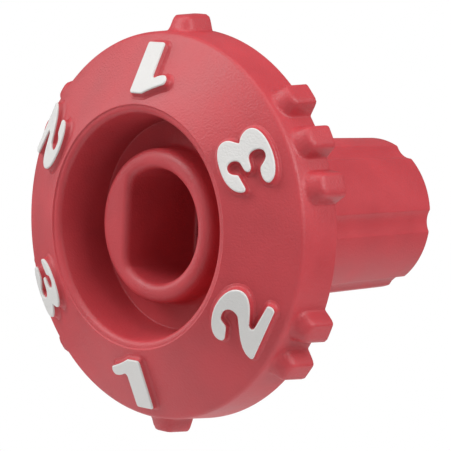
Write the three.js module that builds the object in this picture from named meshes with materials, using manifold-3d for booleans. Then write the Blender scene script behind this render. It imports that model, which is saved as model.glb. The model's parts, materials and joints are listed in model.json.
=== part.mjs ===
// Drip emitter with a three-flow selector dial, as an assembly of separate pieces.
// Millimetres, +Z up. The turning axis is the Y axis: the dial faces -Y and the hub runs back along +Y.
// Shapes are drawn from the plane of the rim's front edge, and the whole assembly is then moved forward
// so that the origin is the centre of the hub's rear end, where the emitter plugs in.
// Angles are clock angles seen from the front: 0 is up (+Z) and 90 is to the right (+X).
import * as THREE from 'three';
import { mergeVertices } from 'three/addons/utils/BufferGeometryUtils.js';
import Module from 'manifold-3d';

const wasm = await Module();
wasm.setup();

// ---- driving dimensions -------------------------------------------------------------------------
const RIM_FRONT_R = 17.7;
const RIM_REAR_R = 18.0;
const RIM_DEPTH = 4.2;
const WALL = 1.6;
const LIP_R = 11.1; // where the cone meets the rounded lip of the recess
const LIP_Y = -3.15;
const LIP_STEP = 0.12; // the small step down from the cone to the recess's rounded edge
const MOUTH_R = 10.4;
const MOUTH_ROUND = 0.45;
const RECESS_FLOOR_R = 9.7;
const RECESS_FLOOR_Y = 2.4;
const BOSS_R = 7.1;
const BOSS_FACE_Y = -0.7;
const BOSS_ROUND = 0.9;
const BORE_R = 5.25;
const BORE_FLAT = 3.6; // from the axis to the flat of the D
const BORE_DEPTH = 8.3;
const OUTLET_R = 1.5;

const HUB_R = 7.8;
const HUB_END_R = 7.45; // the hub tapers a little towards its rear end
const HUB_END_Y = 29.9;
const HUB_FRONT_Y = 5.6;
const HUB_JOURNAL_R = 5.95;
const CHAMBER_R = 6.5;
const SHOULDER_Y = 11.4; // the journal opens into the chamber here
const FLUTE_DEPTH = 0.4;
const FLUTE_ROUND = 2.0;

const STEM_R = 5.85;
const STEM_END_Y = 13.6;
const SPIGOT_R = 3.0;
const SPIGOT_FLAT = 2.3;
const SPIGOT_END_Y = 15.6;
const O_RING_Y = 9.8;
const O_RING_SECTION = 1.2;
const CLIP_Y = 11.7;
const CLIP_THICK = 0.7;
const CLIP_GROOVE_R = 5.1;

const COLLAR_IN_R = 9.9;
const COLLAR_OUT_R = 11.3;
const COLLAR_END_Y = 8.2;

const RIB_PITCH = 13; // degrees between neighbouring tactile ribs
const RIB_TOP_R = 19.4;
const RIB_BASE_WIDTH = 3.0;
const RIB_TOP_WIDTH = 1.85;
const RIB_FRONT_Y = 0.9;
const RIB_NOSE = 1.3; // length of the sloping front end

const PORT_RING_R = 4.7; // the ports of the selector, gasket and orifice plate lie on this circle
const SETTINGS = [1, 3, 2, 1, 3, 2]; // clockwise from the top, one every STEP degrees
const STEP = 60;
const SETTING_WORDS = ['top', 'upper_right', 'lower_right', 'bottom', 'lower_left', 'upper_left'];
const ORIFICE_R = { 1: 0.3, 2: 0.45, 3: 0.6 };
const DISC_R = 6.2; // discs stacked in the hub's chamber
const KEY_WIDTH = 1.2;
const KEY_HEIGHT = 0.6;
const KEY_START_Y = 15.8;
const KEY_END_Y = 25.9;
const GAP = 0.3; // clearance kept between neighbouring pieces

const DIGIT_HEIGHT = 5.1;
const DIGIT_R = 14.2; // from the axis to the middle of a digit
const DIGIT_LIFT = 0.3;
const DIGIT_THICK = 0.3;

// Facets round a full circle.
const FINE = 72;
const MEDIUM = 36;
const COARSE = 24;
const SMALL = 12;

// ---- solids -------------------------------------------------------------------------------------
function signedVolume(position, index) {
  const corners = [new THREE.Vector3(), new THREE.Vector3(), new THREE.Vector3()];
  let total = 0;
  for (let i = 0; i < index.length; i += 3) {
    corners.forEach((corner, k) => corner.fromBufferAttribute(position, index[i + k]));
    total += corners[0].dot(corners[1].clone().cross(corners[2]));
  }
  return total / 6;
}

// A closed three.js geometry as a manifold solid with its faces pointing out.
function solid(geometry) {
  geometry.deleteAttribute('normal');
  geometry.deleteAttribute('uv');
  const merged = mergeVertices(geometry, 1e-4);
  const index = Uint32Array.from(merged.index.array);
  if (signedVolume(merged.attributes.position, index) < 0) {
    index.reverse();
  }
  const vertProperties = Float32Array.from(merged.attributes.position.array);
  return new wasm.Manifold(new wasm.Mesh({ numProp: 3, vertProperties, triVerts: index }));
}

// A solid of revolution about the Y axis from [radius, y] points.
function turned(profile, segments = MEDIUM) {
  const points = profile.map(([r, y]) => new THREE.Vector2(r, y));
  return solid(new THREE.LatheGeometry([...points, points[0].clone()], segments));
}

function ring(innerR, outerR, y0, y1, segments = MEDIUM) {
  return turned([[innerR, y0], [outerR, y0], [outerR, y1], [innerR, y1]], segments);
}

function disc(radius, y0, y1, segments = MEDIUM) {
  const geometry = new THREE.CylinderGeometry(radius, radius, y1 - y0, segments);
  return solid(geometry.translate(0, (y0 + y1) / 2, 0));
}

// A shape drawn in x and z, made solid between two heights y0 and y1 of the axis.
function slab(shape, y0, y1, curveSegments = SMALL) {
  const geometry = new THREE.ExtrudeGeometry(shape, { depth: y1 - y0, bevelEnabled: false, curveSegments });
  return solid(geometry.rotateX(Math.PI / 2).translate(0, y1, 0));
}

function block(x0, x1, y0, y1, z0, z1) {
  const geometry = new THREE.BoxGeometry(x1 - x0, y1 - y0, z1 - z0);
  return solid(geometry.translate((x0 + x1) / 2, (y0 + y1) / 2, (z0 + z1) / 2));
}

// Moves a solid made at the top of the dial to another clock angle.
function atClock(piece, degrees) {
  return piece.rotate([0, degrees, 0]);
}

function sixWays(piece, start) {
  const angles = SETTINGS.map((_, i) => start + i * STEP);
  return angles.map((angle) => atClock(piece, angle)).reduce((sum, item) => sum.add(item));
}

function dShape(radius, flat) {
  const half = Math.PI - Math.acos(flat / radius);
  const shape = new THREE.Shape();
  shape.absarc(0, 0, radius, -half, half, false);
  shape.closePath();
  return shape;
}

function polygon(points) {
  return new THREE.Shape(points.map(([x, z]) => new THREE.Vector2(x, z)));
}

// ---- the turning dial ---------------------------------------------------------------------------
// Height of the cone's surface, along the axis, at a distance from it.
function coneY(r) {
  return (LIP_Y * (RIM_FRONT_R - r)) / (RIM_FRONT_R - LIP_R);
}

function wheelBody() {
  const bandY = LIP_Y + LIP_STEP;
  const troughInR = LIP_R + 0.9;
  const troughOutR = RIM_REAR_R - WALL;
  return turned([
    [0, BOSS_FACE_Y],
    [BOSS_R - BOSS_ROUND, BOSS_FACE_Y],
    [BOSS_R - BOSS_ROUND * 0.3, BOSS_FACE_Y + BOSS_ROUND * 0.3],
    [BOSS_R, BOSS_FACE_Y + BOSS_ROUND],
    [BOSS_R, RECESS_FLOOR_Y],
    [RECESS_FLOOR_R, RECESS_FLOOR_Y],
    [MOUTH_R, bandY + MOUTH_ROUND],
    [MOUTH_R + MOUTH_ROUND * 0.3, bandY + MOUTH_ROUND * 0.3],
    [MOUTH_R + MOUTH_ROUND, bandY],
    [LIP_R - LIP_STEP, bandY],
    [LIP_R, LIP_Y],
    [RIM_FRONT_R, 0],
    [RIM_REAR_R, RIM_DEPTH],
    [troughOutR, RIM_DEPTH],
    [troughOutR - 0.2, coneY(troughOutR) + WALL],
    [troughInR, coneY(troughInR) + WALL],
    [COLLAR_OUT_R, RECESS_FLOOR_Y + WALL],
    [COLLAR_OUT_R, COLLAR_END_Y],
    [COLLAR_IN_R, COLLAR_END_Y],
    [COLLAR_IN_R, RECESS_FLOOR_Y + WALL],
    [STEM_R, RECESS_FLOOR_Y + WALL],
    [STEM_R, STEM_END_Y],
    [SPIGOT_R, STEM_END_Y],
    [SPIGOT_R, SPIGOT_END_Y],
    [0, SPIGOT_END_Y],
  ], FINE);
}

// One tactile rib: a trapezoid seen from the front, with a sloping nose seen from the side.
function tactileRib() {
  const root = RIM_FRONT_R - 0.6;
  const front = slab(polygon([
    [-RIB_BASE_WIDTH / 2, root],
    [RIB_BASE_WIDTH / 2, root],
    [RIB_TOP_WIDTH / 2, RIB_TOP_R],
    [-RIB_TOP_WIDTH / 2, RIB_TOP_R],
  ]), RIB_FRONT_Y, RIM_DEPTH);
  const noseCut = slab(polygon([
    [RIB_FRONT_Y - 1, RIM_FRONT_R + 0.4],
    [RIB_FRONT_Y, RIM_FRONT_R + 0.4],
    [RIB_FRONT_Y + RIB_NOSE, RIB_TOP_R],
    [RIB_FRONT_Y + RIB_NOSE, RIB_TOP_R + 1],
    [RIB_FRONT_Y - 1, RIB_TOP_R + 1],
  ]), -RIB_BASE_WIDTH, RIB_BASE_WIDTH);
  return front.subtract(noseCut.rotate([0, 0, 90]));
}

// Each setting has as many ribs on the rim as its number, centred on its digit.
function rimRibs() {
  const rib = tactileRib();
  const placed = SETTINGS.flatMap((count, i) => {
    const first = i * STEP - ((count - 1) * RIB_PITCH) / 2;
    return Array.from({ length: count }, (_, k) => atClock(rib, first + k * RIB_PITCH));
  });
  return placed.reduce((sum, item) => sum.add(item));
}

// Webs that stiffen the hollow back of the wheel, between the rim and the recess wall.
function backWebs() {
  const y0 = coneY(LIP_R + 2) + WALL / 2;
  const web = block(-0.6, 0.6, y0, RIM_DEPTH - 0.5, COLLAR_OUT_R - 0.3, RIM_REAR_R - WALL / 2);
  const outside = coneSpace();
  return sixWays(web, STEP / 2).subtract(outside);
}

// The space in front of the cone, which the back webs must not reach into.
function coneSpace() {
  const outer = RIM_FRONT_R + 1;
  return turned([
    [RECESS_FLOOR_R, coneY(RECESS_FLOOR_R) + WALL / 2],
    [RECESS_FLOOR_R, LIP_Y - 2],
    [outer, LIP_Y - 2],
    [outer, coneY(outer) + WALL / 2],
  ], FINE);
}

// Two stops inside the collar that hold the ends of the detent spring.
function springStops() {
  const stop = block(-0.5, 0.5, RECESS_FLOOR_Y + WALL - 0.3, COLLAR_END_Y, HUB_R + 0.6, COLLAR_IN_R + 0.3);
  return [STEP / 2 - 24, 5 * STEP / 2 + 24].map((angle) => atClock(stop, angle)).reduce((a, b) => a.add(b));
}

function dialWheel() {
  const halfClip = CLIP_THICK / 2 + 0.1;
  const halfRing = O_RING_SECTION / 2 + 0.1;
  const spigotCut = block(-SPIGOT_R - 1, -SPIGOT_FLAT, STEM_END_Y, SPIGOT_END_Y + 1, -SPIGOT_R, SPIGOT_R);
  return wheelBody()
    .add(rimRibs())
    .add(backWebs())
    .add(springStops())
    .subtract(slab(dShape(BORE_R, BORE_FLAT), BOSS_FACE_Y - 1, BORE_DEPTH, MEDIUM))
    .subtract(disc(OUTLET_R, BORE_DEPTH - 1, SPIGOT_END_Y - 0.6, COARSE))
    .subtract(block(-0.6, 0.6, STEM_END_Y, SPIGOT_END_Y - 0.6, -SPIGOT_R - 1, SPIGOT_R + 1))
    .subtract(spigotCut)
    .subtract(ring(STEM_R - 1.25, STEM_R + 1, O_RING_Y - halfRing, O_RING_Y + halfRing, FINE))
    .subtract(ring(CLIP_GROOVE_R, STEM_R + 1, CLIP_Y - halfClip + 0.35, CLIP_Y + halfClip + 0.35, FINE));
}

// ---- digits -------------------------------------------------------------------------------------
// Outlines in hundredths of the digit's height, centred, with the head of the digit at +50.
function digitOne() {
  const shape = new THREE.Shape();
  shape.moveTo(-20, -50);
  shape.lineTo(18, -50);
  shape.lineTo(20, 46);
  shape.quadraticCurveTo(19, 50, 14, 50);
  shape.lineTo(-8, 50);
  shape.quadraticCurveTo(-28, 36, -52, 30);
  shape.quadraticCurveTo(-58, 18, -50, 13);
  shape.quadraticCurveTo(-38, 12, -28, 18);
  shape.quadraticCurveTo(-20, 20, -20, 12);
  shape.closePath();
  return shape;
}

function digitTwo() {
  const shape = new THREE.Shape();
  shape.moveTo(-50, -50);
  shape.lineTo(52, -46);
  shape.quadraticCurveTo(58, -40, 52, -32);
  shape.lineTo(4, -29);
  shape.quadraticCurveTo(-6, -26, 2, -18);
  shape.bezierCurveTo(22, -10, 52, -2, 52, 20);
  shape.bezierCurveTo(50, 40, 26, 50, 0, 50);
  shape.bezierCurveTo(-26, 49, -50, 36, -50, 20);
  shape.quadraticCurveTo(-50, 10, -42, 11);
  shape.lineTo(-24, 17);
  shape.bezierCurveTo(-16, 22, -22, 34, -4, 34);
  shape.bezierCurveTo(12, 34, 16, 16, 6, 6);
  shape.bezierCurveTo(-12, -6, -46, -20, -50, -46);
  shape.closePath();
  return shape;
}

function digitThree() {
  const shape = new THREE.Shape();
  shape.moveTo(-48, 24);
  shape.bezierCurveTo(-44, 40, -20, 50, 0, 50);
  shape.bezierCurveTo(26, 50, 46, 40, 46, 26);
  shape.bezierCurveTo(46, 14, 34, 10, 32, 4);
  shape.bezierCurveTo(40, -2, 50, -10, 50, -22);
  shape.bezierCurveTo(48, -38, 24, -50, -2, -50);
  shape.bezierCurveTo(-28, -50, -50, -38, -54, -24);
  shape.bezierCurveTo(-54, -16, -38, -14, -28, -18);
  shape.bezierCurveTo(-20, -22, -16, -38, -2, -38);
  shape.bezierCurveTo(12, -36, 16, -8, -2, -4);
  shape.quadraticCurveTo(-22, -4, -20, 8);
  shape.bezierCurveTo(4, 8, 12, 14, 8, 28);
  shape.bezierCurveTo(4, 40, -14, 40, -16, 28);
  shape.quadraticCurveTo(-24, 20, -44, 20);
  shape.closePath();
  return shape;
}

const DIGIT_SHAPES = { 1: digitOne, 2: digitTwo, 3: digitThree };

// A raised digit that lies on the cone with its head towards the axis.
function numeral(value, angle) {
  const slope = Math.atan2(-LIP_Y, RIM_FRONT_R - LIP_R);
  const flat = new THREE.ExtrudeGeometry(DIGIT_SHAPES[value](), { depth: 1, bevelEnabled: false, curveSegments: 5 });
  flat.scale(DIGIT_HEIGHT / 100, DIGIT_HEIGHT / 100, DIGIT_THICK);
  flat.translate(0, 0, DIGIT_LIFT);
  flat.rotateZ(Math.PI);
  flat.rotateX(Math.PI / 2 - slope);
  flat.translate(0, coneY(DIGIT_R), DIGIT_R);
  return atClock(solid(flat), angle);
}

// ---- pieces that turn with the dial -------------------------------------------------------------
function stemORing() {
  const section = O_RING_SECTION / 2;
  const middle = STEM_R - 1.2 + section + 0.02;
  const profile = Array.from({ length: 8 }, (_, i) => {
    const a = (i * Math.PI) / 4;
    return [middle + section * 0.95 * Math.cos(a), O_RING_Y + section * Math.sin(a)];
  });
  return turned(profile, MEDIUM);
}

// An open snap ring in the stem's groove, which bears on the hub's shoulder.
function retainingClip() {
  const y0 = CLIP_Y + 0.05;
  const closed = ring(CLIP_GROOVE_R + 0.15, CHAMBER_R - 0.2, y0, y0 + CLIP_THICK - 0.05, MEDIUM);
  return closed.subtract(block(-1.5, 1.5, y0 - 1, y0 + 2, -CHAMBER_R - 1, 0));
}

function selectorDisc() {
  const y0 = STEM_END_Y + 0.1;
  const y1 = KEY_START_Y - 0.15;
  const groove = block(-0.7, 0.7, y0 - 1, y0 + 0.8, -PORT_RING_R - 0.7, PORT_RING_R + 0.7);
  const port = disc(0.8, y0 - 1, y1 + 1, SMALL).translate([0, 0, PORT_RING_R]);
  return disc(DISC_R, y0, y1, MEDIUM)
    .subtract(slab(dShape(SPIGOT_R + 0.15, SPIGOT_FLAT + 0.15), y0 - 1, y1 + 1, COARSE))
    .subtract(groove)
    .subtract(port)
    .subtract(atClock(port, 180));
}

// A spring strip inside the collar; its nose drops into one of the hub's flutes.
function detentSpring() {
  const outer = COLLAR_IN_R - 0.25;
  const thick = 0.35;
  const reach = 60;
  const nose = 15;
  const tip = HUB_R - 0.1;
  const arc = (radius, from, to) => Array.from({ length: 11 }, (_, i) => [radius, from + ((to - from) * i) / 10]);
  const outside = [...arc(outer, -reach, -nose), [tip + thick, 0], ...arc(outer, nose, reach)];
  const inside = [...arc(outer - thick, reach, nose), [tip, 0], ...arc(outer - thick, -nose, -reach)];
  const outline = [...outside, ...inside].map(([r, degrees]) => {
    const a = THREE.MathUtils.degToRad(degrees + 90);
    return [r * Math.sin(a), r * Math.cos(a)];
  });
  return slab(polygon(outline), HUB_FRONT_Y + 0.2, COLLAR_END_Y - 0.3);
}

// ---- the fixed hub ------------------------------------------------------------------------------
function hubSleeve() {
  const chamfer = 0.3;
  const shell = turned([
    [HUB_JOURNAL_R, HUB_FRONT_Y],
    [HUB_R - chamfer, HUB_FRONT_Y],
    [HUB_R, HUB_FRONT_Y + chamfer],
    [HUB_END_R, HUB_END_Y - chamfer],
    [HUB_END_R - chamfer, HUB_END_Y],
    [CHAMBER_R, HUB_END_Y],
    [CHAMBER_R, SHOULDER_Y],
    [HUB_JOURNAL_R, SHOULDER_Y],
  ], FINE);
  const taper = (HUB_R - HUB_END_R) / (HUB_END_Y - HUB_FRONT_Y);
  const flute = disc(FLUTE_ROUND, HUB_FRONT_Y - 1, HUB_END_Y + 1, COARSE)
    .translate([0, 0, HUB_R + taper * HUB_FRONT_Y + FLUTE_ROUND - FLUTE_DEPTH])
    .rotate([-THREE.MathUtils.radToDeg(Math.atan(taper)), 0, 0]);
  return shell.add(hubKeys()).subtract(sixWays(flute, STEP / 2));
}

// Two keys in the chamber that stop the stacked discs from turning.
function hubKeys() {
  const half = KEY_WIDTH / 2;
  const key = block(-half, half, KEY_START_Y, KEY_END_Y, CHAMBER_R - KEY_HEIGHT, CHAMBER_R + 0.3);
  return atClock(key, STEP).add(atClock(key, STEP + 180));
}

// A disc of the fixed stack, with notches for the two keys.
function keyedDisc(y0, y1, segments = MEDIUM) {
  const half = KEY_WIDTH / 2 + GAP;
  const notch = block(-half, half, y0 - 1, y1 + 1, CHAMBER_R - KEY_HEIGHT - GAP, CHAMBER_R + 1);
  return disc(DISC_R, y0, y1, segments)
    .subtract(atClock(notch, STEP))
    .subtract(atClock(notch, STEP + 180));
}

function thrustWasher() {
  return ring(STEM_R + GAP, HUB_R - 0.2, RECESS_FLOOR_Y + WALL + 0.2, HUB_FRONT_Y - 0.2);
}

function portHoles(radiusOf, y0, y1) {
  // The plate's sizes run anticlockwise, because turning the dial clockwise brings up the setting before.
  const anticlockwise = SETTINGS.map((_, i) => SETTINGS[(SETTINGS.length - i) % SETTINGS.length]);
  return anticlockwise
    .map((value, i) => atClock(disc(radiusOf(value), y0, y1, SMALL).translate([0, 0, PORT_RING_R]), i * STEP))
    .reduce((sum, item) => sum.add(item));
}

function portGasket() {
  const y0 = KEY_START_Y + 0.05;
  return keyedDisc(y0, y0 + 0.8).subtract(portHoles(() => 0.95, y0 - 1, y0 + 2));
}

function orificePlate() {
  const y0 = KEY_START_Y + 1.0;
  return keyedDisc(y0, y0 + 1.4).subtract(portHoles((value) => ORIFICE_R[value], y0 - 1, y0 + 3));
}

function regulatorCup() {
  const y0 = KEY_START_Y + 2.55;
  return keyedDisc(y0, y0 + 2.6)
    .subtract(disc(5.0, y0 - 1, y0 + 1.7, MEDIUM))
    .add(ring(0.5, 1.4, y0 + 1.1, y0 + 1.9, COARSE))
    .subtract(disc(0.5, y0, y0 + 3, SMALL))
    .subtract(block(-0.25, 0.25, y0 + 0.9, y0 + 1.4, -2, 2));
}

function diaphragm() {
  const y0 = KEY_START_Y + 2.75;
  return disc(4.7, y0, y0 + 0.7, MEDIUM);
}

// A disc with a ring channel in its rear face, where teeth from alternate sides make the water zigzag.
function labyrinthDisc() {
  const y0 = KEY_START_Y + 5.25;
  const thick = 1.9;
  const floor = y0 + 0.9;
  const channelIn = 3.4;
  const channelOut = 5.1;
  const toothCount = 18;
  const tooth = (from, to) => block(-0.25, 0.25, floor - 0.2, y0 + thick, from, to);
  const teeth = Array.from({ length: toothCount }, (_, i) => {
    const fromOutside = i % 2 === 0;
    const piece = fromOutside ? tooth(channelIn + 0.7, channelOut + 0.3) : tooth(channelIn - 0.3, channelOut - 0.7);
    return atClock(piece, (i * 360) / toothCount);
  });
  return teeth
    .reduce((sum, item) => sum.add(item), keyedDisc(y0, y0 + thick).subtract(
      ring(channelIn, channelOut, floor, y0 + thick + 1)))
    .subtract(disc(0.5, y0 - 1, y0 + thick + 1, SMALL))
    .subtract(block(-0.4, 0.4, floor, y0 + thick + 1, 0, channelIn + 0.3));
}

function filterScreen() {
  const y0 = KEY_START_Y + 7.45;
  const pitch = 1.5;
  const reach = 5.2;
  let plate = disc(DISC_R - 0.8, y0, y0 + 0.4, MEDIUM);
  for (let i = -4; i <= 4; i += 1) {
    for (let k = -4; k <= 4; k += 1) {
      if (Math.hypot(i * pitch, k * pitch) < reach) {
        const hole = block(-0.45, 0.45, y0 - 1, y0 + 1, -0.45, 0.45);
        plate = plate.subtract(hole.translate([i * pitch, 0, k * pitch]));
      }
    }
  }
  return plate;
}

function filterFrame() {
  const y0 = KEY_START_Y + 8.15;
  const spoke = block(-0.5, 0.5, y0, y0 + 1.7, -5.2, 5.2);
  return keyedDisc(y0, y0 + 1.7)
    .subtract(disc(5.0, y0 - 1, y0 + 3, MEDIUM))
    .add(spoke)
    .add(atClock(spoke, 90));
}

// The plug in the hub's rear end, with the inlet hole and a groove for its seal.
function inletCap() {
  const y0 = KEY_START_Y + 10.2;
  const y1 = HUB_END_Y - 0.2;
  const middle = (y0 + y1) / 2;
  const half = O_RING_SECTION / 2 + 0.1;
  return disc(DISC_R, y0, y1, MEDIUM)
    .subtract(disc(4.4, y0 - 1, y0 + 1.6, MEDIUM))
    .subtract(disc(1.9, y0 - 1, y1 + 1, COARSE))
    .subtract(ring(DISC_R - 1.15, DISC_R + 1, middle - half, middle + half, MEDIUM));
}

function capORing() {
  const section = O_RING_SECTION / 2;
  const middle = (KEY_START_Y + 10.2 + HUB_END_Y - 0.2) / 2;
  const profile = Array.from({ length: 8 }, (_, i) => {
    const a = (i * Math.PI) / 4;
    return [DISC_R - 0.45 + section * Math.cos(a), middle + section * Math.sin(a)];
  });
  return turned(profile, MEDIUM);
}

// ---- assembly -----------------------------------------------------------------------------------
const RED = { color: 0xc0484f, roughness: 0.45, metalness: 0 };
const WHITE = { color: 0xf0ecec, roughness: 0.5, metalness: 0 };
const BLACK_RUBBER = { color: 0x1c1c1e, roughness: 0.8, metalness: 0 };
const SILICONE = { color: 0xd9cfc0, roughness: 0.6, metalness: 0 };
const ACETAL = { color: 0xe4e2da, roughness: 0.4, metalness: 0 };
const DARK_PLASTIC = { color: 0x2b2d30, roughness: 0.5, metalness: 0 };
const STEEL = { color: 0xb9bcc0, roughness: 0.3, metalness: 1 };

const group = new THREE.Group();
group.position.y = -HUB_END_Y;

function place(name, manifold, look) {
  const { vertProperties, triVerts } = manifold.getMesh();
  const geometry = new THREE.BufferGeometry();
  geometry.setAttribute('position', new THREE.BufferAttribute(vertProperties, 3));
  geometry.setIndex(new THREE.BufferAttribute(triVerts, 1));
  geometry.computeVertexNormals();
  const mesh = new THREE.Mesh(geometry, new THREE.MeshStandardMaterial(look));
  mesh.name = name;
  group.add(mesh);
}

place('dial_wheel', dialWheel(), RED);
SETTINGS.forEach((value, i) => {
  place(`numeral_${value}_${SETTING_WORDS[i]}`, numeral(value, i * STEP), WHITE);
});
place('stem_o_ring', stemORing(), BLACK_RUBBER);
place('retaining_clip', retainingClip(), STEEL);
place('selector_disc', selectorDisc(), ACETAL);
place('detent_spring', detentSpring(), STEEL);
place('hub_sleeve', hubSleeve(), RED);
place('thrust_washer', thrustWasher(), ACETAL);
place('port_gasket', portGasket(), SILICONE);
place('orifice_plate', orificePlate(), DARK_PLASTIC);
place('regulator_cup', regulatorCup(), DARK_PLASTIC);
place('diaphragm', diaphragm(), SILICONE);
place('labyrinth_disc', labyrinthDisc(), DARK_PLASTIC);
place('filter_screen', filterScreen(), STEEL);
place('filter_frame', filterFrame(), DARK_PLASTIC);
place('inlet_cap', inletCap(), DARK_PLASTIC);
place('cap_o_ring', capORing(), BLACK_RUBBER);

export default group;
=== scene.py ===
"""Looks of the drip emitter with a selector dial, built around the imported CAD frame.

The turning axis is Y and the dial faces -Y. Shapes are drawn in millimetres as (radius, depth) profiles,
where depth is measured along +Y from the plane of the rim's front edge, and clock angles are in degrees
seen from the front: 0 is up (+Z) and 90 is to the right (+X).
"""
import json
import math

import bmesh
import bpy
import numpy as np
from mathutils import Matrix, Vector


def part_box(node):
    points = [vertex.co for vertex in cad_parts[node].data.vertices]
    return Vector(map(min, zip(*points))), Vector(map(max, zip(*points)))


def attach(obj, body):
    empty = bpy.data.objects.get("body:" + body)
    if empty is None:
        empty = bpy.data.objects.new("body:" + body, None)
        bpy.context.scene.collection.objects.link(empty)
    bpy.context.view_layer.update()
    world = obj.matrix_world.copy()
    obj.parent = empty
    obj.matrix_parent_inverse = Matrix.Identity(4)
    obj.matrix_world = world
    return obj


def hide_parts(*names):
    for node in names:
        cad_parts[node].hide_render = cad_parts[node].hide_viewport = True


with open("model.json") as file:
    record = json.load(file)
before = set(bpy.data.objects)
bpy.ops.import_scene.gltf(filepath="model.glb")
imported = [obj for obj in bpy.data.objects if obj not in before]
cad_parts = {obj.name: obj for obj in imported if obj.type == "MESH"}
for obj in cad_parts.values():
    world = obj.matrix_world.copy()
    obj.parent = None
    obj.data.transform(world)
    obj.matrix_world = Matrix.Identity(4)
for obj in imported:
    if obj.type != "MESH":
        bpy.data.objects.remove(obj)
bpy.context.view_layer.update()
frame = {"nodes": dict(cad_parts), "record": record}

MM = 0.001

# ---- places taken from the frame ------------------------------------------------------------------
WHEEL_LOW, WHEEL_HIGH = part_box("dial_wheel")
HUB_LOW, HUB_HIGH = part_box("hub_sleeve")
LIP_HEIGHT = 3.15  # the cone's rise from the rim's front edge to the recess
RIM_PLANE = WHEEL_LOW[1] / MM + LIP_HEIGHT  # depth zero, on the Y axis
HUB_R = HUB_HIGH[2] / MM
HUB_FRONT = HUB_LOW[1] / MM - RIM_PLANE
HUB_END = HUB_HIGH[1] / MM - RIM_PLANE
RIB_TOP_R = WHEEL_HIGH[2] / MM

# ---- settings of the dial -------------------------------------------------------------------------
SETTINGS = (1, 3, 2, 1, 3, 2)
PLACES = ("top", "upper_right", "lower_right", "bottom", "lower_left", "upper_left")
STEP = 360 / len(SETTINGS)

# ---- wheel ----------------------------------------------------------------------------------------
RIM_FRONT_R = 17.7
RIM_REAR_R = 18.0
RIM_DEPTH = 4.2
WALL = 1.6
LIP_R = 11.1
LIP_STEP = 0.13  # depth of the small step round the recess's mouth
LIP_STEP_WIDTH = 0.08
MOUTH_INSET = 0.75  # from the lip's radius to the recess's wall at its mouth
RECESS_FLOOR_R = 9.7
RECESS_FLOOR = 2.4
BOSS_R = 7.1
BOSS_FACE = -0.7
BORE_R = 5.25
BORE_FLAT = 3.6  # from the axis
BORE_CORNER = 0.8  # how softly the flat turns into the round
BORE_LEAD = 0.7  # rounding at the bore's mouth
BORE_DEPTH = 8.3
FLAT_CLOCK = 270
OUTLET_R = 1.5
STEM_R = 5.85
STEM_END = 13.6
COLLAR_IN_R = 9.9
COLLAR_OUT_R = 11.3
COLLAR_END = 8.2
TROUGH_IN_R = LIP_R + 0.9  # the hollow behind the cone
TROUGH_OUT_R = RIM_REAR_R - WALL
WEB_THICK = 1.2
STOP_THICK = 1.0
STOP_CLOCKS = (6, 174)
STOP_GAP = 0.6  # between a stop and the hub
BURIED = 0.3  # how far a block reaches into the wall that it stands on

RIB_PITCH = 13.2  # degrees between the ribs of one setting
RIB_BASE = 3.0
RIB_TOP = 1.85
RIB_FRONT = 0.75  # depth at which a rib starts
RIB_NOSE = 1.1  # length of its rounded front
RIB_FALL = 0.25  # how far the top falls towards the front
RIB_EDGE = 0.35  # how softly the flanks turn into the top
RIB_FOOT = 0.16  # how softly the flanks run out into the rim
FLANK_ZONE = (2.2, 5.6)  # degrees from a rib's middle between which its flanks lie
FINE_TURN = 0.33  # degrees between mesh columns there
COARSE_TURN = 1.0
RIM_SEGMENT = 0.28  # longest mesh segment where the ribs rise
PLAIN_SEGMENT = 1.6

# ---- digits ---------------------------------------------------------------------------------------
DIGIT_HEIGHT = 5.1
DIGIT_R = 14.2  # from the axis to the digit's middle
DIGIT_TURN = -1.2  # the ring of digits sits a touch anticlockwise of the ribs
BASE_TOP = 0.42  # above the cone
CAP_TOP = 0.6
CONE_SLOPE = math.atan2(LIP_HEIGHT, RIM_FRONT_R - LIP_R)

# ---- hub ------------------------------------------------------------------------------------------
HUB_END_R = HUB_R - 0.35
CHAMBER_R = 6.5
JOURNAL_R = 5.95
SHOULDER = 11.4
FLUTES = 6
FLUTE_DEPTH = 0.4
FLUTE_ROUND = 2.0
FLUTE_EDGE = 0.06
HUB_TURN = 0.5  # degrees between mesh columns


# ---- mesh helpers ---------------------------------------------------------------------------------
def new_object(name, verts_mm, faces):
    """A smooth-shaded mesh object from points in millimetres around the rim plane."""
    points = np.asarray(verts_mm, dtype=float).copy()
    points[:, 1] += RIM_PLANE
    mesh = bpy.data.meshes.new(name)
    mesh.from_pydata((points * MM).tolist(), [], faces)
    mesh.validate()
    obj = bpy.data.objects.new(name, mesh)
    bpy.context.scene.collection.objects.link(obj)
    mesh.polygons.foreach_set("use_smooth", [True] * len(mesh.polygons))
    return obj


def face_outwards(obj):
    """Turns every face's normal to the outside."""
    bm = bmesh.new()
    bm.from_mesh(obj.data)
    bmesh.ops.recalc_face_normals(bm, faces=bm.faces)
    bm.to_mesh(obj.data)
    bm.free()


def grid_faces(rows, columns):
    """Quads of a grid that closes on itself both ways."""
    i, k = np.meshgrid(np.arange(rows), np.arange(columns), indexing="ij")
    i2 = (i + 1) % rows
    k2 = (k + 1) % columns
    quads = np.stack([i * columns + k, i2 * columns + k, i2 * columns + k2, i * columns + k2], -1)
    return quads.reshape(-1, 4).tolist()


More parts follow.
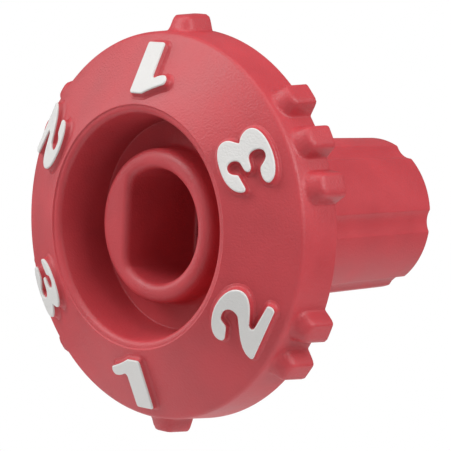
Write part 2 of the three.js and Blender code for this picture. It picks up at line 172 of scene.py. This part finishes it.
def rounded(corners, arc_step=15.0):
    """A closed profile from (radius, depth, rounding) corners, as an array of (radius, depth) points."""
    points = []
    count = len(corners)
    for i, (r, y, rounding) in enumerate(corners):
        here = np.array([r, y])
        before = np.array(corners[i - 1][:2]) - here
        after = np.array(corners[(i + 1) % count][:2]) - here
        if rounding <= 0:
            points.append(here)
            continue
        before /= np.linalg.norm(before)
        after /= np.linalg.norm(after)
        half = math.acos(max(-1.0, min(1.0, float(before @ after)))) / 2
        middle = before + after
        centre = here + middle / np.linalg.norm(middle) * (rounding / math.sin(half))
        start = here + before * (rounding / math.tan(half))
        end = here + after * (rounding / math.tan(half))
        turn = math.pi - 2 * half
        steps = max(2, math.ceil(math.degrees(turn) / arc_step))
        a = start - centre
        b = end - centre
        for s in range(steps + 1):
            t = s / steps
            swung = math.sin((1 - t) * turn) * a + math.sin(t * turn) * b
            points.append(centre + swung / math.sin(turn))
    return np.array(points)


def densified(points, longest):
    """The same closed profile with no segment longer than longest(radius, depth)."""
    out = []
    for here, following in zip(points, np.roll(points, -1, axis=0)):
        length = np.linalg.norm(following - here)
        parts = max(1, math.ceil(length / longest(*((here + following) / 2))))
        out.extend(here + (following - here) * s / parts for s in range(parts))
    return np.array(out)


def smooth_min(a, b, reach):
    """The smaller of two values, blended where they differ by less than reach."""
    h = np.clip(0.5 + 0.5 * (b - a) / reach, 0, 1)
    return b * (1 - h) + a * h - reach * h * (1 - h)


def smooth_max(a, b, reach):
    """The larger of two values, blended where they differ by less than reach."""
    return -smooth_min(-a, -b, reach)


def spun(name, profile, clock, reshape=None):
    """A solid of revolution from a closed profile; reshape(radius, depth, clock) may change the radius."""
    r, angle = np.meshgrid(profile[:, 0], np.radians(clock), indexing="ij")
    y = np.repeat(profile[:, 1][:, None], len(clock), axis=1)
    if reshape is not None:
        r = reshape(r, y, np.degrees(angle))
    verts = np.stack([r * np.sin(angle), y, r * np.cos(angle)], -1).reshape(-1, 3)
    obj = new_object(name, verts, grid_faces(len(profile), len(clock)))
    face_outwards(obj)
    return obj


def joined(objects, name):
    """One object of several."""
    with bpy.context.temp_override(active_object=objects[0], selected_editable_objects=objects):
        bpy.ops.object.join()
    objects[0].name = name
    return objects[0]


def clock_distance(clock, target):
    """Degrees from each clock angle to a target, from -180 to 180."""
    return (clock - target + 180) % 360 - 180


def rounded_block(name, centre, size, clock, edge):
    """A block with rounded edges, made at the top of the dial and swung to a clock angle."""
    bm = bmesh.new()
    bmesh.ops.create_cube(bm, size=1)
    bmesh.ops.scale(bm, vec=Vector(size), verts=bm.verts)
    bmesh.ops.bevel(bm, geom=bm.edges[:], offset=edge, segments=3, profile=0.5, affect="EDGES")
    bmesh.ops.translate(bm, vec=Vector(centre), verts=bm.verts)
    bmesh.ops.rotate(bm, matrix=Matrix.Rotation(math.radians(clock), 3, "Y"), verts=bm.verts)
    verts = [v.co[:] for v in bm.verts]
    faces = [[v.index for v in f.verts] for f in bm.faces]
    bm.free()
    return new_object(name, verts, faces)


# ---- wheel ----------------------------------------------------------------------------------------
def cone_depth(r):
    """Depth of the numbered cone at a radius."""
    return -LIP_HEIGHT * (RIM_FRONT_R - r) / (RIM_FRONT_R - LIP_R)


def rib_clocks():
    """Clock angle of every tactile rib: as many at each setting as its number."""
    clocks = []
    for i, count in enumerate(SETTINGS):
        first = i * STEP - (count - 1) * RIB_PITCH / 2
        clocks += [first + k * RIB_PITCH for k in range(count)]
    return clocks


def wheel_clocks():
    """Clock angles round the wheel, closer together on the sides of the ribs."""
    centres = rib_clocks()
    clocks = []
    at = 0.0
    while at < 360 - 0.2:
        clocks.append(at)
        near = min(abs(clock_distance(at, c)) for c in centres)
        at += FINE_TURN if FLANK_ZONE[0] < near < FLANK_ZONE[1] else COARSE_TURN
    return np.array(clocks)


def rib_rise(y, clock, reach):
    """Height of the ribs above the rim, for arrays of depth and clock angle."""
    rise = np.zeros_like(clock)
    height = RIB_TOP_R - RIM_REAR_R
    along = np.clip((RIB_FRONT + RIB_NOSE - y) / RIB_NOSE, 0, 2)
    for centre in rib_clocks():
        across = np.abs(np.radians(clock_distance(clock, centre))) * RIM_REAR_R
        foot = np.hypot(across / (RIB_BASE / 2), along)
        flank = (1 - foot) / (1 - RIB_TOP / RIB_BASE)
        body = smooth_min(flank, 1 - RIB_FALL * along ** 2, RIB_EDGE)
        rise = np.maximum(rise, smooth_max(body, np.zeros_like(body), RIB_FOOT) * height)
    return rise * reach


def d_radius(clock, offset):
    """Radius of the D-shaped bore at each clock angle, grown outwards by an offset."""
    towards_flat = np.cos(np.radians(clock_distance(clock, FLAT_CLOCK)))
    flat = (BORE_FLAT + offset) / np.maximum(towards_flat, 0.2)
    return smooth_min(np.full_like(clock, BORE_R) + offset, flat, BORE_CORNER)


def wheel_profile():
    """Cross-section of the wheel from the boss over the lip and the rim to the collar, stem and bore."""
    lip_y = -LIP_HEIGHT
    step_y = lip_y + LIP_STEP
    back_y = RECESS_FLOOR + WALL
    corners = [
        (BOSS_R, BOSS_FACE, 0.85),
        (BOSS_R, RECESS_FLOOR, 0.45),
        (RECESS_FLOOR_R, RECESS_FLOOR, 0.12),
        (LIP_R - MOUTH_INSET, step_y, 0.55),
        (LIP_R - LIP_STEP_WIDTH, step_y, 0.08),
        (LIP_R, lip_y, 0.1),
        (RIM_FRONT_R, 0, 0.6),
        (RIM_REAR_R, RIM_DEPTH, 0.2),
        (TROUGH_OUT_R, RIM_DEPTH, 0.2),
        (TROUGH_OUT_R - 0.2, cone_depth(TROUGH_OUT_R) + WALL, 0.6),
        (TROUGH_IN_R, cone_depth(TROUGH_IN_R) + WALL, 0.5),
        (COLLAR_OUT_R, back_y, 0.4),
        (COLLAR_OUT_R, COLLAR_END, 0.25),
        (COLLAR_IN_R, COLLAR_END, 0.25),
        (COLLAR_IN_R, back_y, 0.3),
        (STEM_R, back_y, 0.2),
        (STEM_R, STEM_END, 0.3),
        (OUTLET_R, STEM_END, 0.2),
        (OUTLET_R, BORE_DEPTH, 0.1),
        (BORE_R, BORE_DEPTH, 0.3),
        (BORE_R, BOSS_FACE, BORE_LEAD),
    ]

    def longest(r, y):
        on_rim = r > RIM_FRONT_R - 0.3 and y < RIM_DEPTH + 0.1
        return RIM_SEGMENT if on_rim else PLAIN_SEGMENT
    return densified(rounded(corners), longest)


def wheel_shape(r, y, clock):
    """Gives the bore its flat and the rim its ribs."""
    bore_edge = BORE_R + BORE_LEAD + 1e-3
    in_bore = (r <= bore_edge) & (y < BORE_DEPTH + 1e-3) & (r > BORE_R - 0.31)
    shaped = np.where(in_bore, d_radius(clock, r - BORE_R), r)
    share = np.clip((r - TROUGH_OUT_R) / WALL, 0, 1)
    on_rim = (y > 0) & (y <= RIM_DEPTH + 1e-3) & (r > RIM_FRONT_R - 0.35)
    on_back = (y > RIM_DEPTH - 0.21) & (r > TROUGH_OUT_R)
    reach = np.where(on_rim, 1.0, np.where(on_back, share, 0.0))
    return shaped + rib_rise(np.minimum(y, RIM_DEPTH), clock, reach)


def make_webs():
    """Six webs behind the cone, between the collar and the rim."""
    low, high = COLLAR_OUT_R - BURIED, RIM_REAR_R - WALL / 2
    front, back = 0.2, RIM_DEPTH - 0.5
    centre = (0, (front + back) / 2, (low + high) / 2)
    size = (WEB_THICK, back - front, high - low)
    return [rounded_block("web", centre, size, (i + 0.5) * STEP, 0.15) for i in range(len(SETTINGS))]


def make_stops():
    """Two stops inside the collar that hold the ends of the detent spring."""
    low, high = HUB_R + STOP_GAP, COLLAR_IN_R + BURIED
    front, back = RECESS_FLOOR + WALL, COLLAR_END
    centre = (0, (front + back) / 2 - 0.2, (low + high) / 2)
    size = (STOP_THICK, back - front, high - low)
    return [rounded_block("stop", centre, size, clock, 0.12) for clock in STOP_CLOCKS]


def make_wheel():
    body = spun("wheel_body", wheel_profile(), wheel_clocks(), wheel_shape)
    return joined([body] + make_webs() + make_stops(), "moulded_wheel")


# ---- digits ---------------------------------------------------------------------------------------
# Outlines in hundredths of the digit's height, centred, with the head at +50. Each step is a line to a
# point, or a curve with one or two control points before its end.
OUTLINES = {
    1: [(-15, -50), [(16, -50)], [(20, -50), (20, -45)], [(22, 44)], [(22, 50), (16, 50)], [(-7, 50)],
        [(-28, 38), (-53, 30)], [(-59, 20), (-50, 13)], [(-38, 12), (-28, 18)], [(-20, 20), (-20, 12)],
        [(-20.5, -45)], [(-20.5, -50), (-15, -50)]],
    2: [(-46, -50), [(50, -47)], [(58, -40), (52, -32)], [(4, -29)], [(-6, -26), (2, -18)],
        [(22, -10), (52, -2), (52, 20)], [(50, 40), (26, 50), (0, 50)], [(-26, 49), (-50, 36), (-50, 20)],
        [(-50, 10), (-42, 11)], [(-24, 17)], [(-16, 22), (-22, 34), (-4, 34)],
        [(12, 34), (16, 16), (6, 6)], [(-12, -6), (-46, -20), (-50, -44)], [(-51, -50), (-46, -50)]],
    3: [(-55, 24), [(-52, 40), (-32, 50), (-8, 50)], [(22, 50), (41, 42), (41, 26)],
        [(41, 14), (31, 10), (27, 1)], [(36, -3), (44, -12), (44, -23)], [(43, -40), (20, -48), (-8, -48)],
        [(-36, -48), (-57, -38), (-58, -25)], [(-57, -14), (-34, -15), (-27, -20)],
        [(-22, -26), (-18, -36), (-8, -36)], [(8, -36), (10, -8), (-4, -5)],
        [(-10, -3), (-24, -6), (-26, 3)],
        [(-25, 11), (-12, 10), (-6, 12)], [(6, 16), (6, 38), (-8, 38)],
        [(-18, 37), (-20, 30), (-24, 23)],
        [(-38, 21), (-48, 19)], [(-55, 19), (-55, 24)]],
}
# (growth outwards, height, share that follows the cone) of the rings of a digit's red base and white cap
BASE_RINGS = ((0.5, -0.12, 1), (0.42, 0.0, 1), (0.28, 0.025, 1), (0.18, 0.07, 0.8), (0.11, 0.14, 0.5),
              (0.08, 0.24, 0.2), (0.06, BASE_TOP - 0.04, 0), (0.02, BASE_TOP, 0))
CAP_RINGS = ((-0.03, BASE_TOP - 0.05, 0), (0.0, BASE_TOP - 0.02, 0), (0.01, CAP_TOP - 0.1, 0),
             (-0.01, CAP_TOP - 0.05, 0), (-0.05, CAP_TOP - 0.015, 0), (-0.12, CAP_TOP, 0))


def on_curve(control, t):
    """The point at share t of a Bezier curve with any number of control points."""
    level = control
    while len(level) > 1:
        level = [a * (1 - t) + b * t for a, b in zip(level, level[1:])]
    return level[0]


def outline_points(steps, spacing=0.045):
    """The outline as evenly spaced, slightly smoothed points in millimetres."""
    points = [np.array(steps[0], dtype=float)]
    for step in steps[1:]:
        control = [points[-1]] + [np.array(p, dtype=float) for p in step]
        points += [on_curve(control, t) for t in np.linspace(0, 1, 25)[1:]]
    loop = np.array(points + [points[0]]) * DIGIT_HEIGHT / 100
    length = np.concatenate([[0], np.cumsum(np.linalg.norm(np.diff(loop, axis=0), axis=1))])
    count = int(length[-1] / spacing)
    at = np.linspace(0, length[-1], count, endpoint=False)
    even = np.stack([np.interp(at, length, loop[:, k]) for k in (0, 1)], -1)
    for _ in range(3):
        even = (np.roll(even, 1, 0) + 2 * even + np.roll(even, -1, 0)) / 4
    return even


def outline_distance(points, outline):
    """Distance of each point from a closed outline."""
    a = outline
    ab = np.roll(outline, -1, 0) - a
    to = points[:, None] - a[None]
    t = np.clip((to * ab).sum(-1) / np.maximum((ab * ab).sum(-1), 1e-12), 0, 1)
    return np.linalg.norm(to - t[..., None] * ab, axis=-1).min(1)


def grown(outline, distance):
    """The outline moved outwards, or inwards where negative, stopping where its sides would cross."""
    along = np.roll(outline, -1, 0) - np.roll(outline, 1, 0)
    along /= np.linalg.norm(along, axis=1)[:, None]
    x, y = outline[:, 0], outline[:, 1]
    turns_left = np.sum(x * np.roll(y, -1) - np.roll(x, -1) * y) > 0
    normal = np.stack([along[:, 1], -along[:, 0]], -1) * (1 if turns_left else -1)
    reach = np.full(len(outline), abs(distance))
    for _ in range(14):
        moved = outline + normal * (reach * math.copysign(1, distance))[:, None]
        free = outline_distance(moved, outline)
        reach = np.where(free < reach - 0.01, reach * 0.85, reach)
    smooth = reach
    for _ in range(2):
        smooth = np.minimum(reach, (np.roll(smooth, 1) + 2 * smooth + np.roll(smooth, -1)) / 4)
    return outline + normal * (smooth * math.copysign(1, distance))[:, None]


def on_dial(points, height, follow, clock):
    """Puts points of a digit's plane on the cone, a height above it, with the head towards the axis."""
    u, v = points[:, 0], points[:, 1]
    c, s = math.cos(CONE_SLOPE), math.sin(CONE_SLOPE)
    x = -u
    z = DIGIT_R - v * c
    y = cone_depth(DIGIT_R) - v * s
    drop = (cone_depth(np.hypot(x, z)) - y) * c
    h = height - drop * follow
    y = y - h * c
    z = z + h * s
    a = math.radians(clock)
    return np.stack([x * math.cos(a) + z * math.sin(a), y, -x * math.sin(a) + z * math.cos(a)], -1)


def raised_digit(name, loops, clock, rings):
    """A digit's base or cap: its outline at each ring, skinned from the lowest to the highest."""
    count = len(loops[0])
    placed = [on_dial(loop, height, follow, clock) for loop, (_, height, follow) in zip(loops, rings)]
    verts = np.concatenate(placed)
    faces = []
    for k in range(len(rings) - 1):
        for i in range(count):
            j = (i + 1) % count
            faces.append((k * count + i, k * count + j, (k + 1) * count + j, (k + 1) * count + i))
    faces.append(tuple(range(count))[::-1])
    faces.append(tuple((len(rings) - 1) * count + i for i in range(count)))
    obj = new_object(name, verts, faces)
    for cap in obj.data.polygons[-2:]:
        cap.use_smooth = False
    face_outwards(obj)
    return obj


# ---- hub ------------------------------------------------------------------------------------------
def fluted(r, y, clock):
    """Sinks round flutes into the hub's outer surface, which tapers towards its end."""
    surface = HUB_R + (HUB_END_R - HUB_R) * (y - HUB_FRONT) / (HUB_END - HUB_FRONT)
    outside = r > surface - 0.5
    axis_r = surface + FLUTE_ROUND - FLUTE_DEPTH
    shaped = r
    for i in range(FLUTES):
        away = np.radians(clock_distance(clock, (i + 0.5) * 360 / FLUTES))
        under = FLUTE_ROUND ** 2 - (axis_r * np.sin(away)) ** 2
        near = axis_r * np.cos(away) - np.sqrt(np.maximum(under, 0))
        cut = np.where((under > 0) & (np.abs(away) < 0.5), near - surface, 9)
        sunk = r + smooth_min(cut, np.zeros_like(cut), FLUTE_EDGE)
        shaped = np.where(outside, np.minimum(shaped, sunk), shaped)
    return shaped


def make_hub():
    corners = [
        (JOURNAL_R, HUB_FRONT, 0.2),
        (HUB_R, HUB_FRONT, 0.35),
        (HUB_END_R, HUB_END, 0.3),
        (CHAMBER_R, HUB_END, 0.2),
        (CHAMBER_R, SHOULDER, 0.1),
        (JOURNAL_R, SHOULDER, 0.1),
    ]
    profile = densified(rounded(corners, 12), lambda r, y: 2.0)
    return spun("fluted_hub", profile, np.arange(0, 360, HUB_TURN), fluted)


# ---- materials ------------------------------------------------------------------------------------
GRAIN_SCALE = 5200  # grains to the metre, about
GRAIN_HEIGHT = 0.00008  # in metres


def material(name, colour, roughness, **options):
    """A Principled material with fine mottling of its colour and roughness and a grain in its surface."""
    mat = bpy.data.materials.new(name)
    mat.use_nodes = True
    nodes = mat.node_tree.nodes
    links = mat.node_tree.links
    shader = nodes["Principled BSDF"]
    for socket, value in options.get("sockets", {}).items():
        shader.inputs[socket].default_value = value
    place = nodes.new("ShaderNodeTexCoord")

    def noise(scale, detail):
        tex = nodes.new("ShaderNodeTexNoise")
        tex.inputs["Scale"].default_value = scale
        tex.inputs["Detail"].default_value = detail
        links.new(place.outputs["Object"], tex.inputs["Vector"])
        return tex

    def ramp(tex, low, high):
        node = nodes.new("ShaderNodeMapRange")
        node.inputs["From Min"].default_value = 0.3
        node.inputs["From Max"].default_value = 0.7
        node.inputs["To Min"].default_value = low
        node.inputs["To Max"].default_value = high
        links.new(tex.outputs["Fac"], node.inputs["Value"])
        return node.outputs["Result"]

    mix = nodes.new("ShaderNodeMix")
    mix.data_type = "RGBA"
    spread = options.get("spread", 0.08)
    mix.inputs["A"].default_value = (*[c * (1 - spread) for c in colour], 1)
    mix.inputs["B"].default_value = (*[min(1, c * (1 + spread)) for c in colour], 1)
    cloud = noise(options.get("cloud", 220), 3.0)
    links.new(ramp(cloud, 0, 1), mix.inputs["Factor"])
    links.new(mix.outputs["Result"], shader.inputs["Base Color"])
    links.new(ramp(cloud, roughness - 0.05, roughness + 0.05), shader.inputs["Roughness"])
    grain = noise(GRAIN_SCALE, 2.0)
    bump = nodes.new("ShaderNodeBump")
    bump.inputs["Strength"].default_value = options.get("bump", 0.5)
    bump.inputs["Distance"].default_value = GRAIN_HEIGHT
    links.new(grain.outputs["Fac"], bump.inputs["Height"])
    links.new(bump.outputs["Normal"], shader.inputs["Normal"])
    return mat


def make_materials():
    red_sockets = {
        "Subsurface Weight": 0.12,
        "Subsurface Radius": (1.0, 0.12, 0.1),
        "Subsurface Scale": 0.0006,
    }
    silicone_sockets = {"Subsurface Weight": 0.4}
    steel_sockets = {"Metallic": 1.0}
    return {
        "red_plastic": material("red_plastic", (0.50, 0.046, 0.058), 0.45, sockets=red_sockets),
        "white_plastic": material("white_plastic", (0.68, 0.67, 0.655), 0.45, spread=0.02),
        "seal_rubber": material("seal_rubber", (0.02, 0.02, 0.022), 0.7, bump=0.4),
        "silicone": material("silicone", (0.62, 0.57, 0.5), 0.55, sockets=silicone_sockets),
        "natural_acetal": material("natural_acetal", (0.78, 0.76, 0.7), 0.35, spread=0.03),
        "dark_plastic": material("dark_plastic", (0.03, 0.032, 0.036), 0.45),
        "spring_steel": material("spring_steel", (0.52, 0.53, 0.55), 0.3, sockets=steel_sockets, bump=0.1),
    }


# ---- stage ----------------------------------------------------------------------------------------
CAMERA_AZIMUTH = 43.802
CAMERA_ELEVATION = 6.276
CAMERA_ROLL = 2.856
CAMERA_RANGE = 230.1  # from the aim point, in millimetres
CAMERA_AIM = (4.316, 4.189, 0.321)  # from the middle of the rim's front plane, in millimetres
LENS = 201.32
SENSOR = 36
FLOOR_DROP = 70.0  # from the axis to the floor, in millimetres
FLOOR_HALF = 120.0  # half the floor's width, in millimetres
LIGHT_AIM_DEPTH = 8.0  # the lights look at this depth on the axis
AMBIENT = 0.21
LIGHTS = {  # place from the rim's middle and size in millimetres, then watts
    "key": ((-180, -250, 260), 220, 0.92),
    "side": ((300, 40, 180), 220, 0.92),
    "top": ((40, -80, 380), 240, 0.52),
    "front": ((120, -380, 20), 240, 0.15),
    "left": ((-320, -160, 60), 220, 0.36),
}


def make_camera():
    """The view of the dial's front and right side."""
    data = bpy.data.cameras.new("camera")
    data.lens = LENS
    data.sensor_width = SENSOR
    data.clip_start = 0.01
    data.clip_end = 10
    camera = bpy.data.objects.new("camera", data)
    bpy.context.scene.collection.objects.link(camera)
    a, e = math.radians(CAMERA_AZIMUTH), math.radians(CAMERA_ELEVATION)
    back = Vector((math.sin(a) * math.cos(e), -math.cos(a) * math.cos(e), math.sin(e)))
    right = Vector((0, 0, 1)).cross(back).normalized()
    basis = Matrix((right, back.cross(right), back)).transposed()
    turn = Matrix.Rotation(math.radians(CAMERA_ROLL), 3, "Z")
    aim = Vector(CAMERA_AIM) + Vector((0, RIM_PLANE, 0))
    place = (aim + back * CAMERA_RANGE) * MM
    camera.matrix_world = Matrix.Translation(place) @ (basis @ turn).to_4x4()
    bpy.context.scene.camera = camera


def area_light(name, place, size, power):
    """A square softbox that faces the dial; place and size are in millimetres."""
    data = bpy.data.lights.new(name, "AREA")
    data.shape = "SQUARE"
    data.size = size * MM
    data.energy = power
    light = bpy.data.objects.new(name, data)
    bpy.context.scene.collection.objects.link(light)
    target = Vector((0, RIM_PLANE + LIGHT_AIM_DEPTH, 0)) * MM
    light.location = (Vector(place) + Vector((0, RIM_PLANE, 0))) * MM
    light.rotation_mode = "QUATERNION"
    light.rotation_quaternion = (target - light.location).to_track_quat("-Z", "Y")


def make_floor():
    """A small sheet of pale paper well below the dial."""
    half = FLOOR_HALF * MM
    z = -FLOOR_DROP * MM
    corners = [(-half, -half, z), (half, -half, z), (half, half, z), (-half, half, z)]
    mesh = bpy.data.meshes.new("floor")
    mesh.from_pydata(corners, [], [(0, 1, 2, 3)])
    floor = bpy.data.objects.new("floor", mesh)
    bpy.context.scene.collection.objects.link(floor)
    paper = material("floor_paper", (0.9, 0.9, 0.9), 0.9, spread=0.01, cloud=20, bump=0.02)
    floor.data.materials.append(paper)


def make_world():
    """Weak white light from all round; the camera itself sees plain white behind the dial."""
    world = bpy.data.worlds.new("studio")
    bpy.context.scene.world = world
    world.use_nodes = True
    nodes = world.node_tree.nodes
    links = world.node_tree.links
    ambient = nodes["Background"]
    ambient.inputs["Color"].default_value = (1, 1, 1, 1)
    ambient.inputs["Strength"].default_value = AMBIENT
    seen = nodes.new("ShaderNodeBackground")
    seen.inputs["Color"].default_value = (1, 1, 1, 1)
    seen.inputs["Strength"].default_value = 1.0
    path = nodes.new("ShaderNodeLightPath")
    choose = nodes.new("ShaderNodeMixShader")
    links.new(path.outputs["Is Camera Ray"], choose.inputs[0])
    links.new(ambient.outputs[0], choose.inputs[1])
    links.new(seen.outputs[0], choose.inputs[2])
    links.new(choose.outputs[0], nodes["World Output"].inputs["Surface"])


def make_stage():
    make_floor()
    make_world()
    for name, (place, size, power) in LIGHTS.items():
        area_light(name, place, size, power)
    bpy.context.scene.view_settings.view_transform = "Standard"


# ---- assembly -------------------------------------------------------------------------------------
MATERIALS = make_materials()
NODE_SLOT = {row["node"]: row["material_slot"] for row in frame["record"]["subparts"]}


def finish_piece(obj, body, slot, *nodes):
    """Gives a piece its material and body, and hides the CAD nodes that it stands in for."""
    obj.data.materials.clear()
    obj.data.materials.append(MATERIALS[slot])
    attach(obj, body)
    if nodes:
        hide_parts(*nodes)


def dress_cad_nodes():
    """Gives the CAD's own pieces the procedural material of their slot."""
    for node, obj in frame["nodes"].items():
        for slot in obj.material_slots:
            slot.material = MATERIALS[NODE_SLOT[node]]


def add_digits():
    """A red base and a white cap at every setting."""
    outlines = {value: outline_points(OUTLINES[value]) for value in OUTLINES}
    base_loops = {value: [grown(outlines[value], ring[0]) for ring in BASE_RINGS] for value in OUTLINES}
    cap_loops = {value: [grown(outlines[value], ring[0]) for ring in CAP_RINGS] for value in OUTLINES}
    for index, (value, place) in enumerate(zip(SETTINGS, PLACES)):
        clock = index * STEP + DIGIT_TURN
        base = raised_digit(f"digit_base_{value}_{place}", base_loops[value], clock, BASE_RINGS)
        finish_piece(base, "dial", "red_plastic")
        cap = raised_digit(f"digit_face_{value}_{place}", cap_loops[value], clock, CAP_RINGS)
        finish_piece(cap, "dial", "white_plastic", f"numeral_{value}_{place}")


make_camera()
make_stage()
dress_cad_nodes()
finish_piece(make_wheel(), "dial", "red_plastic", "dial_wheel")
add_digits()
finish_piece(make_hub(), "hub", "red_plastic", "hub_sleeve")
